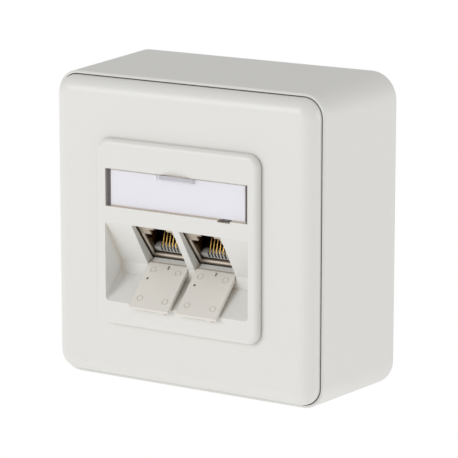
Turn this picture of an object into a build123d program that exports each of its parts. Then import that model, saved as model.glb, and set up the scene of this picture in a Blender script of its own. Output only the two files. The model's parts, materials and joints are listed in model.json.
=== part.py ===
from build123d import *
from math import asin, atan2, cos, degrees, radians, sin, tan
import os

# Surface-mount data outlet with two shielded 8-way ports, in millimetres.
# The wall is the plane y = 0, the outlet faces -Y, +X is to the right and +Z is up.
# The origin is the centre of the wall face.

# Cover frame
FRAME_SIZE = 79.7            # outside width and height
FRAME_CORNER = 5.1           # corner radius seen from the front
FRAME_HEIGHT = 4.1           # how far the frame stands in front of the housing's rim
FRAME_EDGE_ROUND = 4.0       # large soft edge all round
FRAME_WALL = 2.0             # wall of the hollow frame
FRAME_RIB = 1.2              # ribs behind the frame
APERTURE_CLEARANCE = 0.3     # between the frame's aperture and the centre plate's skirt

# Housing
BOX_DEPTH = 34.4             # wall to rim
BOX_DRAFT = 2.0              # degrees, the sides widen towards the wall
BOX_WALL = 2.0
BOX_BASE = 2.2
RIM_GAP = 0.25               # gap between the frame and the rim
RIM_WIDTH = 0.7              # rim seen outside that gap
REBATE_DEPTH = 1.5           # step in the rim that the frame sits in
POST_RADIUS = 3.6
POST_SPACING = 60.0          # distance between the two carrier screws
POST_HOLE_DEPTH = 12.0
POST_RIB = 1.6               # rib that ties a post to the side wall
WALL_SLOT_SPACING = 60.0     # wall screws, one above the other
WALL_SLOT_LENGTH = 8.0
WALL_SLOT_WIDTH = 4.4
CABLE_ENTRY_WIDTH = 32.0     # cable entry through the base
CABLE_ENTRY_HEIGHT = 16.0
CABLE_ENTRY_CENTRE = -16.0
CABLE_ENTRY_CORNER = 3.0
KNOCKOUT_WIDTH = 16.0        # thinned patch behind the side walls, for surface cable
KNOCKOUT_HEIGHT = 11.0
KNOCKOUT_SKIN = 0.8

# Centre plate
PLATE_SIZE = 49.6
PLATE_CORNER = 3.5
PLATE_HEIGHT = 6.25          # front of the plate in front of the housing's rim
PLATE_WALL = 2.0
PLATE_EDGE_ROUND = 1.4
SHADOW_GAP = 0.3             # groove under the plate's edge
SHADOW_DEPTH = 0.8           # how far that groove runs in
SKIRT_SIZE = 46.4            # skirt behind the plate, inside the frame's aperture
SKIRT_WALL = 1.2
SKIRT_END = 2.2              # end of the skirt in front of the rim
SKIRT_CORNER = 2.0

# Socket pocket in the plate
POCKET_WIDTH = 44.0
POCKET_TOP = 2.6             # height of the pocket's upper edge above the middle
POCKET_BOTTOM = -18.44
FACE_TILT = 33.0             # degrees from vertical, the slanted socket face
FACE_LENGTH = 13.94
BACK_DROP = 3.27             # short wall below the socket face
BACK_LEAN = 0.33
POCKET_WALL = 1.2
POCKET_CORNER = 1.0          # rounded lower corners of the pocket
JAMB_DEPTH = 1.1             # thickness of the socket face at the top of a port

# Port openings and shutters
PORT_PITCH = 14.7
PORT_WIDTH = 12.65
SILL_DISTANCE = 13.76        # from the pocket's upper edge to the sill, along the face
SHUTTER_GAP = 0.225          # each side of a shutter
SHUTTER_THICK = 1.0
SHUTTER_TOP_GAP = 0.2        # closed shutter to the pocket's upper edge
SHUTTER_REST_GAP = 0.3       # open shutter to the pocket's lower lip
SHUTTER_EDGE = 0.15          # small rounding of the shutter's free edge
HINGE_BELOW_FACE = 0.36      # hinge axis beyond the end of the socket face
HINGE_INSET = 0.6            # hinge axis behind the socket face
HINGE_CLEARANCE = 0.1        # rounded hinge end of a shutter in its seat
SILL_RELIEF = 0.8            # width of the openings at both ends of a sill
PIN_RADIUS = 0.45
PIN_CLEARANCE = 0.05
PIN_LENGTH = 0.65            # how far a pin reaches into the plate
NIB_WIDTH = 1.7              # finger nib on the outer side, at the free edge
NIB_LENGTH = 0.8
NIB_OFFSET = 3.4             # from the middle of the shutter
NIB_RISE = 0.45
SHUTTER_SLOT_WIDTH = 0.7
SHUTTER_SLOT_OFFSET = 0.4
SHUTTER_SLOT_START = 0.1     # distances from the hinge
SHUTTER_SLOT_END = 1.35
SHUTTER_SLOT_DEPTH = 0.6
SHUTTER_HOLE_RADIUS = 0.4
SHUTTER_HOLE_OFFSET = -4.45
SHUTTER_HOLE_DISTANCE = 4.8

# Label
LABEL_WIDTH = 43.66
LABEL_HEIGHT = 10.04
LABEL_CENTRE = 12.0
LABEL_DEPTH = 1.1
LABEL_FLOOR = 1.4            # floor behind the label
WINDOW_GAP = 0.2
WINDOW_THICK = 0.65
WINDOW_SET = 0.05            # front of the window behind the plate's face
WINDOW_LEG = 0.7             # thickness of the legs at the window's ends
WINDOW_LEG_LENGTH = 1.9
LIP_WIDTH = 11.3
LIP_HEIGHT = 1.15
LIP_RISE = 0.3
CARD_GAP = 0.1               # card to the slots for the window's legs
CARD_EDGE = 0.37             # card to the upper and lower side of the recess
CARD_THICK = 0.25
SCOOP_HALF = 4.9             # half width of the finger scoop at the window
SCOOP_RISE = 1.7             # height of the scoop above the window
SCOOP_DEPTH = 0.75
PRY_WIDTH = 3.8              # prying notch in the lower edge of the label recess
PRY_HEIGHT = 0.5
PRY_CENTRE = 14.7

# Plate screws
PLATE_SCREW_SPACING = 26.0
PLATE_SCREW_RADIUS = 1.4
PLATE_SCREW_HEAD = 2.7
PLATE_SCREW_LENGTH = 8.6
PLATE_BOSS = 3.2
SCREW_CLEARANCE = 0.05       # a screw in the hole that it is tapped into
SCREW_PASS = 0.3             # a screw in a plain hole

# Support frame, the metal carrier
RING_SIZE = 71.0
RING_CORNER = 3.0
RING_THICK = 1.5
RING_SET = 0.3               # front of the ring behind the housing's rim
RING_WINDOW_HEIGHT = 42.0
CHEEK_THICK = 1.5
PLATE_CHEEK_GAP = 0.4        # between the plate's pocket and the carrier's cheeks
PANEL_SET = 4.5              # front of the jack panel behind the jacks' front face
PANEL_THICK = 2.0
PANEL_REACH_UP = 8.6
PANEL_REACH_DOWN = 10.0
BAR_HEIGHT = 5.0             # cross-bar that takes the plate screws
BAR_BOSS = 2.4
BAR_BOSS_LENGTH = 2.4
CARRIER_SLOT_LENGTH = 6.4
CARRIER_SCREW_RADIUS = 1.4
CARRIER_HEAD_RADIUS = 2.8
CARRIER_HEAD_HEIGHT = 1.6
CARRIER_SCREW_LENGTH = 12.0

# Jacks
JACK_TILT = 39.0             # degrees from vertical, the jacks' front face
JACK_GAP = 0.75              # jack behind the plate's wall
JACK_DROP = 8.2              # middle of a jack below the top of the plate's wall, along the tilt
SHELL_WIDTH = 14.2
SHELL_HEIGHT = 13.6
SHELL_LENGTH = 22.0
SHELL_WALL = 1.1
SHELL_CORNER = 0.6
CAVITY_WIDTH = 11.8
CAVITY_HEIGHT = 7.9
CAVITY_LENGTH = 13.0
LOWER_LIP = 1.7              # shell below the plug cavity
KEY_WIDE = 7.0               # first step of the latch keyway
KEY_WIDE_HEIGHT = 1.9
KEY_NARROW = 3.9             # second step
KEY_NARROW_HEIGHT = 1.3
MOUTH_CHAMFER = 0.35
FLANGE_RISE = 0.9            # ledges above and below the shell that seat on the panel
FLANGE_THICK = 1.4
FLANGE_WIDTH = 9.0
NUB_RISE = 0.55              # snap nubs behind the panel
NUB_LENGTH = 1.2
JACK_CLEARANCE = 0.2         # jack in the panel's window

# Contacts and their carrier
CONTACT_COUNT = 8
CONTACT_PITCH = 1.02
CONTACT_WIDTH = 0.42
CONTACT_SLOPE = 36.6         # degrees from the plug's direction
CONTACT_REACH = 10.4         # free end, measured from the jack's front
CONTACT_LOW = 0.5            # lower run above the cavity's floor
CONTACT_BEND = 0.3
COMB_FRONT = 1.2             # start of the comb behind the jack's front
COMB_LENGTH = 1.9
COMB_HEIGHT = 1.7
COMB_SLOT = 0.62
INSERT_FLOOR = 0.9
INSERT_FLOOR_SKIN = 0.2      # under the slots
INSERT_BACK = 10.0           # rear wall of the plug cavity
INSERT_GROOVE = 1.2          # grooves in that wall, for the contacts' free ends
INSERT_CLEARANCE = 0.05

# Leaf springs on the port's side walls
LEAF_THICK = 0.22
LEAF_HEIGHT = 3.4
LEAF_START = 0.9
LEAF_PEAK = 4.6
LEAF_END = 8.6
LEAF_BULGE = 0.6
LEAF_CENTRE = -1.6           # below the jack's middle

# Board, wiring block and cap
BOARD_THICK = 1.6
BOARD_CLEARANCE = 0.1
CAP_GAP = 0.6                # wiring block to the cap's spigot
BLOCK_CLEARANCE = 0.2
IDC_PITCH = 2.6
IDC_ROW = 5.4                # distance between the two rows
IDC_WIDTH = 1.8
IDC_THICK = 0.5
IDC_POCKET = 0.1             # clearance round a blade in the block
IDC_SET = 0.6                # blades behind the end of the block
IDC_NOTCH = 0.5
IDC_NOTCH_SHARE = 0.55       # depth of the wire slots, as a share of the length
CAP_LENGTH = 5.0
CAP_WALL = 1.5
SPIGOT_LENGTH = 2.2
SPIGOT_CLEARANCE = 0.1
SPOUT_RADIUS = 5.2
SPOUT_BORE = 4.1
SPOUT_LENGTH = 2.5

# Earth blade
EARTH_X = -29.5
EARTH_Z = -20.0
EARTH_PAD = 8.0
EARTH_BLADE_WIDTH = 6.3
EARTH_THICK = 0.8
EARTH_BLADE_LENGTH = 9.0
EARTH_SCREW_RADIUS = 1.9
EARTH_HEAD_RADIUS = 3.3
EARTH_HEAD_HEIGHT = 2.0

# Sizes and places that follow from the values above
BOX_FRONT = FRAME_SIZE + 2 * (RIM_GAP + RIM_WIDTH)
BOX_FRONT_CORNER = FRAME_CORNER + RIM_GAP + RIM_WIDTH
DRAFT_GROWTH = BOX_DEPTH * tan(radians(BOX_DRAFT))
BOX_BACK = BOX_FRONT + 2 * DRAFT_GROWTH
APERTURE = SKIRT_SIZE + 2 * APERTURE_CLEARANCE
RIM = BOX_DEPTH                                  # heights in front of the wall
FRAME_FRONT = RIM + FRAME_HEIGHT
PLATE_FRONT = RIM + PLATE_HEIGHT
RING_FRONT = RIM - RING_SET
RING_BACK = RING_FRONT - RING_THICK
SHUTTER_WIDTH = PORT_WIDTH - 2 * SHUTTER_GAP
SIDES = {"left": -PORT_PITCH / 2, "right": PORT_PITCH / 2}

# Profile points are (y, z) pairs in the plane x = 0.
POCKET_EDGE = Vector(-PLATE_FRONT, POCKET_TOP)
FACE_DOWN = Vector(sin(radians(FACE_TILT)), -cos(radians(FACE_TILT)))
FACE_IN = Vector(cos(radians(FACE_TILT)), sin(radians(FACE_TILT)))
FACE_END = POCKET_EDGE + FACE_DOWN * FACE_LENGTH
BACK_END = FACE_END + Vector(BACK_LEAN, -BACK_DROP)
POCKET_LIP = Vector(-PLATE_FRONT, POCKET_BOTTOM)
HINGE = POCKET_EDGE + FACE_DOWN * (FACE_LENGTH + HINGE_BELOW_FACE) + FACE_IN * HINGE_INSET
SHUTTER_LENGTH = FACE_LENGTH + HINGE_BELOW_FACE - SHUTTER_TOP_GAP

# The open shutter rests just above the pocket's lower lip.
TO_LIP = HINGE - POCKET_LIP
LIP_ANGLE = degrees(atan2(TO_LIP.Y, TO_LIP.X))
REST_OFFSET = SHUTTER_THICK / 2 + SHUTTER_REST_GAP
OPEN_BELOW = LIP_ANGLE - degrees(asin(REST_OFFSET / TO_LIP.length))
OPEN_DIRECTION = 180 + OPEN_BELOW
CLOSED_DIRECTION = 90 + FACE_TILT
SEAT_RADIUS = SHUTTER_THICK / 2 + HINGE_CLEARANCE

# The jacks' own directions: up along their front face, and inwards.
JACK_UP = Vector(-sin(radians(JACK_TILT)), cos(radians(JACK_TILT)))
JACK_IN = Vector(cos(radians(JACK_TILT)), sin(radians(JACK_TILT)))
JAMB_TOP = POCKET_EDGE + FACE_IN * JAMB_DEPTH
JACK_CENTRE = JAMB_TOP + JACK_IN * JACK_GAP - JACK_UP * JACK_DROP
CAVITY_FLOOR = LOWER_LIP - SHELL_HEIGHT / 2
CAVITY_TOP = CAVITY_FLOOR + CAVITY_HEIGHT
CHAMBER_WIDTH = SHELL_WIDTH - 2 * SHELL_WALL
CHAMBER_HEIGHT = SHELL_HEIGHT - 2 * SHELL_WALL


def facing(height):
    """A plane parallel to the wall, seen from the front, at a height in front of the wall."""
    return Plane.XZ.offset(height)


def section(x):
    """A plane across the outlet at x, with y along its first axis and z along its second."""
    return Plane.YZ.offset(x)


def yz(point):
    """A profile point as a plain (y, z) pair."""
    return point.X, point.Y


def hinge_plane(x, direction):
    """Across the hinge at x: first axis along the shutter, second towards its inner face."""
    along = Vector(0, cos(radians(direction)), sin(radians(direction)))
    return Plane(origin=(x, HINGE.X, HINGE.Y), x_dir=along, z_dir=(-1, 0, 0))


def jack_plane(x, depth=0.0):
    """A jack's front face, moved inwards by depth: first axis X, second up along the face."""
    at = JACK_CENTRE + JACK_IN * depth
    return Plane(origin=(x, at.X, at.Y), x_dir=(1, 0, 0), z_dir=(0, -JACK_IN.X, -JACK_IN.Y))


def jack_section(x):
    """Across a jack at x: first axis inwards, second up along its front face."""
    return Plane(
        origin=(x, JACK_CENTRE.X, JACK_CENTRE.Y),
        x_dir=(0, JACK_IN.X, JACK_IN.Y),
        z_dir=(1, 0, 0),
    )


def save(builder, label):
    builder.part.label = label
    export_step(builder.part, f"parts/{label}.step")


os.makedirs("parts", exist_ok=True)


# Housing: drafted shell with a rebated rim, screw posts, wall slots and a cable entry
with BuildPart() as back_box:
    with BuildSketch(facing(0)):
        RectangleRounded(BOX_BACK, BOX_BACK, BOX_FRONT_CORNER + DRAFT_GROWTH)
    extrude(amount=BOX_DEPTH, taper=BOX_DRAFT)
    chamfer(back_box.faces().sort_by(Axis.Y)[0].edges(), RIM_WIDTH / 3)
    cavity_growth = 2 * BOX_BASE * tan(radians(BOX_DRAFT))
    with BuildSketch(facing(BOX_BASE)):
        RectangleRounded(
            BOX_BACK - cavity_growth - 2 * BOX_WALL,
            BOX_BACK - cavity_growth - 2 * BOX_WALL,
            BOX_FRONT_CORNER + DRAFT_GROWTH - BOX_WALL,
        )
    extrude(amount=BOX_DEPTH - BOX_BASE, taper=BOX_DRAFT, mode=Mode.SUBTRACT)
    with BuildSketch(facing(BOX_DEPTH - REBATE_DEPTH)):
        RectangleRounded(
            FRAME_SIZE + 2 * RIM_GAP, FRAME_SIZE + 2 * RIM_GAP, FRAME_CORNER + RIM_GAP
        )
    extrude(amount=REBATE_DEPTH, mode=Mode.SUBTRACT)
    # Posts for the carrier screws, each tied to the side wall by a rib
    with BuildSketch(facing(BOX_BASE)):
        with GridLocations(POST_SPACING, 0, 2, 1):
            Circle(POST_RADIUS)
    extrude(amount=RING_BACK - BOX_BASE)
    rib_reach = BOX_FRONT / 2 - BOX_WALL / 2 - POST_SPACING / 2
    rib_middle = POST_SPACING / 2 + rib_reach / 2
    with BuildSketch(facing(BOX_BASE)):
        with GridLocations(2 * rib_middle, 0, 2, 1):
            Rectangle(rib_reach, POST_RIB)
    extrude(amount=RING_BACK - BOX_BASE - REBATE_DEPTH)
    with BuildSketch(facing(RING_BACK - POST_HOLE_DEPTH)):
        with GridLocations(POST_SPACING, 0, 2, 1):
            Circle(CARRIER_SCREW_RADIUS + SCREW_CLEARANCE)
    extrude(amount=POST_HOLE_DEPTH, mode=Mode.SUBTRACT)
    # Slots for the wall screws and the cable entry through the base
    with BuildSketch(facing(0)):
        with GridLocations(0, WALL_SLOT_SPACING, 1, 2):
            SlotOverall(WALL_SLOT_LENGTH, WALL_SLOT_WIDTH, rotation=90)
        with Locations((0, CABLE_ENTRY_CENTRE)):
            RectangleRounded(CABLE_ENTRY_WIDTH, CABLE_ENTRY_HEIGHT, CABLE_ENTRY_CORNER)
    extrude(amount=BOX_BASE, mode=Mode.SUBTRACT)
    # Thinned patches behind the top and bottom walls, to be broken out for surface cable
    patch_reach = BOX_FRONT / 2 + tan(radians(BOX_DRAFT)) * (BOX_DEPTH - KNOCKOUT_HEIGHT)
    with BuildSketch(facing(BOX_BASE)):
        Rectangle(KNOCKOUT_WIDTH, 2 * (patch_reach - KNOCKOUT_SKIN))
        Rectangle(KNOCKOUT_WIDTH, 2 * (patch_reach - BOX_WALL - KNOCKOUT_SKIN), mode=Mode.SUBTRACT)
    extrude(amount=KNOCKOUT_HEIGHT - BOX_BASE, mode=Mode.SUBTRACT)
save(back_box, "back_box")


# Cover frame: hollow square frame with a large soft edge and ribs behind
with BuildPart() as cover_frame:
    with BuildSketch(facing(RIM - REBATE_DEPTH)):
        RectangleRounded(FRAME_SIZE, FRAME_SIZE, FRAME_CORNER)
    extrude(amount=REBATE_DEPTH + FRAME_HEIGHT)
    fillet(cover_frame.faces().sort_by(Axis.Y)[0].edges(), FRAME_EDGE_ROUND)
    hollow = FRAME_SIZE - 2 * FRAME_WALL
    with BuildSketch(facing(RIM - REBATE_DEPTH)):
        RectangleRounded(hollow, hollow, FRAME_CORNER - FRAME_WALL)
    extrude(amount=REBATE_DEPTH + FRAME_HEIGHT - FRAME_WALL, mode=Mode.SUBTRACT)
    rib_height = FRAME_HEIGHT - FRAME_WALL + RING_SET
    with BuildSketch(facing(RIM - RING_SET + SCREW_PASS)):
        with GridLocations(APERTURE / 2, 0, 2, 1):
            Rectangle(FRAME_RIB, hollow)
        with GridLocations(0, APERTURE / 2, 1, 2):
            Rectangle(hollow, FRAME_RIB)
    extrude(amount=rib_height - SCREW_PASS)
    with BuildSketch(facing(RIM - REBATE_DEPTH)):
        RectangleRounded(APERTURE, APERTURE, SKIRT_CORNER + APERTURE_CLEARANCE)
    extrude(amount=REBATE_DEPTH + FRAME_HEIGHT, mode=Mode.SUBTRACT)
save(cover_frame, "cover_frame")


# A ball set in front of the plate, kept only above the label: it cuts the finger scoop.
scoop_radius = (SCOOP_HALF**2 + SCOOP_RISE**2) / (2 * SCOOP_RISE)
scoop_reach = scoop_radius - SCOOP_RISE
scoop_offset = (scoop_radius**2 - scoop_reach**2 - SCOOP_DEPTH**2) / (2 * SCOOP_DEPTH)
label_top = LABEL_CENTRE + LABEL_HEIGHT / 2
with BuildPart() as scoop_ball:
    with Locations((0, -(PLATE_FRONT + scoop_offset), label_top - scoop_reach)):
        Sphere((scoop_radius**2 + scoop_offset**2) ** 0.5)
    with BuildSketch(facing(PLATE_FRONT - PLATE_WALL)):
        with Locations((0, label_top + SCOOP_RISE)):
            Rectangle(4 * SCOOP_HALF, 2 * SCOOP_RISE)
    extrude(amount=2 * PLATE_WALL, mode=Mode.INTERSECT)


# Inside of the socket pocket, with rounded lower corners: it cuts the pocket.
with BuildPart() as pocket_space:
    with BuildSketch(section(0)):
        Polygon(
            (POCKET_EDGE.X - PLATE_WALL, POCKET_EDGE.Y),
            (POCKET_EDGE.X, POCKET_EDGE.Y),
            (FACE_END.X, FACE_END.Y),
            (BACK_END.X, BACK_END.Y),
            (POCKET_LIP.X, POCKET_LIP.Y),
            (POCKET_LIP.X - PLATE_WALL, POCKET_LIP.Y),
            align=None,
        )
    extrude(amount=POCKET_WIDTH / 2, both=True)
    floor_edges = pocket_space.edges().filter_by_position(
        Axis.Z, POCKET_LIP.Y - POCKET_CORNER, BACK_END.Y + POCKET_CORNER
    )
    end_edges = floor_edges.group_by(Axis.X)
    fillet(end_edges[0] + end_edges[-1], POCKET_CORNER)


# Centre plate: face, skirt and the slanted socket pocket, moulded in one piece
with BuildPart() as centre_plate:
    with BuildSketch(facing(FRAME_FRONT + SHADOW_GAP)):
        RectangleRounded(PLATE_SIZE, PLATE_SIZE, PLATE_CORNER)
    extrude(amount=PLATE_HEIGHT - FRAME_HEIGHT - SHADOW_GAP)
    fillet(centre_plate.faces().sort_by(Axis.Y)[0].edges(), PLATE_EDGE_ROUND)
    seat = PLATE_SIZE - 2 * SHADOW_DEPTH
    with BuildSketch(facing(FRAME_FRONT)):
        RectangleRounded(seat, seat, PLATE_CORNER - SHADOW_DEPTH)
    extrude(amount=SHADOW_GAP)
    with BuildSketch(facing(RIM + SKIRT_END)):
        RectangleRounded(SKIRT_SIZE, SKIRT_SIZE, SKIRT_CORNER)
    extrude(amount=FRAME_HEIGHT - SKIRT_END)
    # Hollow behind the face, inside the skirt
    inner = SKIRT_SIZE - 2 * SKIRT_WALL
    with BuildSketch(facing(RIM + SKIRT_END)):
        Rectangle(inner, inner)
    extrude(amount=PLATE_HEIGHT - PLATE_WALL - SKIRT_END, mode=Mode.SUBTRACT)
    # Floor behind the label and the two screw bosses
    floor_back = LABEL_DEPTH + LABEL_FLOOR
    with BuildSketch(facing(PLATE_FRONT - floor_back)):
        with Locations((0, LABEL_CENTRE)):
            Rectangle(inner, LABEL_HEIGHT + 2 * POCKET_WALL)
    extrude(amount=floor_back - PLATE_WALL)
    with BuildSketch(facing(RING_FRONT)):
        with Locations((0, LABEL_CENTRE)):
            with GridLocations(PLATE_SCREW_SPACING, 0, 2, 1):
                Circle(PLATE_BOSS)
    extrude(amount=PLATE_FRONT - floor_back - RING_FRONT)
    # Outside of the pocket: its back is parallel to the jacks, with room for the hinge
    wall_back = PLATE_WALL - PLATE_FRONT
    behind = POCKET_WALL + SEAT_RADIUS
    jamb_start = JAMB_TOP + JACK_UP * ((JAMB_TOP.X - wall_back) / sin(radians(JACK_TILT)))
    hinge_back = JAMB_TOP - JACK_UP * ((HINGE.X + behind - JAMB_TOP.X) / sin(radians(JACK_TILT)))
    floor_down = (POCKET_LIP - BACK_END).normalized()
    floor_in = BACK_END + Vector(-floor_down.Y, floor_down.X) * POCKET_WALL
    floor_out = floor_in + floor_down * ((wall_back - floor_in.X) / floor_down.X)
    with BuildSketch(section(0)):
        Polygon(
            (wall_back, POCKET_TOP + PLATE_WALL),
            (jamb_start.X, jamb_start.Y),
            (hinge_back.X, hinge_back.Y),
            (hinge_back.X, HINGE.Y - behind),
            (BACK_END.X + POCKET_WALL, BACK_END.Y - POCKET_WALL / 2),
            (floor_out.X, floor_out.Y),
            align=None,
        )
    extrude(amount=SKIRT_SIZE / 2, both=True)
    add(pocket_space.part, mode=Mode.SUBTRACT)
    # Port openings through the slanted face, with the room that the shutters need
    open_along = Vector(cos(radians(OPEN_DIRECTION)), sin(radians(OPEN_DIRECTION)))
    open_under = Vector(-open_along.Y, open_along.X)
    face_port = POCKET_EDGE + FACE_DOWN * SILL_DISTANCE
    face_out = FACE_IN * -PLATE_WALL
    port_in = FACE_IN * (POCKET_WALL * 5)
    relief_end = HINGE + FACE_IN * (POCKET_WALL * 4)
    notch_a = HINGE + open_under * SEAT_RADIUS
    notch_b = notch_a + open_along * BACK_DROP
    notch_c = HINGE - FACE_DOWN * (2 * SEAT_RADIUS) - FACE_IN * (3 * SEAT_RADIUS)
    notch_d = HINGE - FACE_DOWN * (2 * SEAT_RADIUS) + FACE_IN * SEAT_RADIUS
    notch_e = HINGE + FACE_IN * SEAT_RADIUS
    for x in SIDES.values():
        with BuildSketch(section(x)):
            Polygon(
                yz(POCKET_EDGE + face_out),
                yz(POCKET_EDGE + port_in),
                yz(face_port + port_in),
                yz(face_port + face_out),
                align=None,
            )
            Polygon(
                yz(notch_a),
                yz(notch_b),
                yz(notch_c),
                yz(notch_d),
                yz(notch_e),
                align=None,
            )
            with Locations((HINGE.X, HINGE.Y)):
                Circle(SEAT_RADIUS)
        extrude(amount=PORT_WIDTH / 2, both=True, mode=Mode.SUBTRACT)
        # Small openings at both ends of the sill, then the bores for the hinge pins
        for end in (-1, 1):
            with BuildSketch(section(x + end * (PORT_WIDTH - SILL_RELIEF) / 2)):
                Polygon(
                    yz(HINGE),
                    yz(relief_end),
                    yz(face_port + port_in),
                    yz(face_port),
                    align=None,
                )
            extrude(amount=SILL_RELIEF / 2, both=True, mode=Mode.SUBTRACT)
        with BuildSketch(section(x)):
            with Locations((HINGE.X, HINGE.Y)):
                Circle(PIN_RADIUS + PIN_CLEARANCE)
        extrude(
            amount=PORT_WIDTH / 2 + PIN_LENGTH + PIN_CLEARANCE, both=True, mode=Mode.SUBTRACT
        )
    # Label recess with its end slots, screw holes, prying notch and finger scoop
    with BuildSketch(facing(PLATE_FRONT - LABEL_DEPTH)):
        with Locations((0, LABEL_CENTRE)):
            Rectangle(LABEL_WIDTH, LABEL_HEIGHT)
    extrude(amount=LABEL_DEPTH, mode=Mode.SUBTRACT)
    slot_width = WINDOW_LEG + 2 * WINDOW_GAP
    with BuildSketch(facing(PLATE_FRONT - floor_back)):
        with Locations((0, LABEL_CENTRE)):
            with GridLocations(LABEL_WIDTH - slot_width, 0, 2, 1):
                Rectangle(slot_width, LABEL_HEIGHT)
        with Locations((PRY_CENTRE, LABEL_CENTRE - LABEL_HEIGHT / 2)):
            Rectangle(PRY_WIDTH, 2 * PRY_HEIGHT)
    extrude(amount=floor_back, mode=Mode.SUBTRACT)
    with Locations(facing(PLATE_FRONT - LABEL_DEPTH)):
        with Locations((0, LABEL_CENTRE)):
            with GridLocations(PLATE_SCREW_SPACING, 0, 2, 1):
                CounterSinkHole(
                    PLATE_SCREW_RADIUS + SCREW_PASS,
                    PLATE_SCREW_HEAD,
                    depth=PLATE_FRONT - RING_BACK,
                    counter_sink_angle=90,
                )
    add(scoop_ball.part, mode=Mode.SUBTRACT)
save(centre_plate, "centre_plate")


# Clear window over the label, with legs at both ends and a finger lip
window_width = LABEL_WIDTH - 2 * WINDOW_GAP
window_height = LABEL_HEIGHT - 2 * WINDOW_GAP
window_front = PLATE_FRONT - WINDOW_SET
with BuildPart() as label_window:
    with BuildSketch(facing(window_front - WINDOW_THICK)):
        with Locations((0, LABEL_CENTRE)):
            RectangleRounded(window_width, window_height, WINDOW_GAP)
    extrude(amount=WINDOW_THICK)
    with BuildSketch(facing(window_front - WINDOW_THICK)):
        with Locations((0, LABEL_CENTRE)):
            with GridLocations(window_width - WINDOW_LEG, 0, 2, 1):
                Rectangle(WINDOW_LEG, window_height)
    extrude(amount=-WINDOW_LEG_LENGTH)
    with BuildSketch(facing(window_front)):
        with Locations((0, LABEL_CENTRE + window_height / 2 - LIP_HEIGHT / 2)):
            Rectangle(LIP_WIDTH, LIP_HEIGHT)
    extrude(amount=LIP_RISE)
save(label_window, "label_window")


# Bare label card on the recess floor, between the slots for the window's legs
with BuildPart() as label_card:
    with BuildSketch(facing(PLATE_FRONT - LABEL_DEPTH)):
        with Locations((0, LABEL_CENTRE)):
            Rectangle(
                LABEL_WIDTH - 2 * (slot_width + CARD_GAP), LABEL_HEIGHT - 2 * CARD_EDGE
            )
    extrude(amount=CARD_THICK)
save(label_card, "label_card")


# Dust shutters, modelled open: slab with a rounded hinge end, pins, finger nib, slot and hole
open_inner = Vector(open_along.Y, -open_along.X)
inner_at = HINGE + open_inner * (SHUTTER_THICK / 2)
for side, x in SIDES.items():
    with BuildPart() as shutter:
        with BuildSketch(hinge_plane(x, OPEN_DIRECTION)) as profile:
            with Locations((SHUTTER_LENGTH / 2, 0)):
                Rectangle(SHUTTER_LENGTH, SHUTTER_THICK)
            fillet(profile.vertices().group_by(Axis.X)[-1], SHUTTER_EDGE)
            Circle(SHUTTER_THICK / 2)
        extrude(amount=SHUTTER_WIDTH / 2, both=True)
        with BuildSketch(hinge_plane(x, OPEN_DIRECTION)):
            Circle(PIN_RADIUS)
        extrude(amount=PORT_WIDTH / 2 + PIN_LENGTH, both=True)
        with BuildSketch(hinge_plane(x + NIB_OFFSET, OPEN_DIRECTION)):
            with Locations((SHUTTER_LENGTH - NIB_LENGTH / 2, -SHUTTER_THICK / 2)):
                Rectangle(NIB_LENGTH, 2 * NIB_RISE)
        extrude(amount=NIB_WIDTH / 2, both=True)
        inner_face = Plane(
            origin=(x, inner_at.X, inner_at.Y),
            x_dir=(1, 0, 0),
            z_dir=(0, -open_inner.X, -open_inner.Y),
        )
        with BuildSketch(inner_face):
            with Locations((SHUTTER_SLOT_OFFSET, (SHUTTER_SLOT_START + SHUTTER_SLOT_END) / 2)):
                Rectangle(SHUTTER_SLOT_WIDTH, SHUTTER_SLOT_END - SHUTTER_SLOT_START)
        extrude(amount=SHUTTER_SLOT_DEPTH, mode=Mode.SUBTRACT)
        with BuildSketch(inner_face):
            with Locations((SHUTTER_HOLE_OFFSET, SHUTTER_HOLE_DISTANCE)):
                Circle(SHUTTER_HOLE_RADIUS)
        extrude(amount=SHUTTER_THICK, mode=Mode.SUBTRACT)
    save(shutter, f"shutter_{side}")


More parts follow.
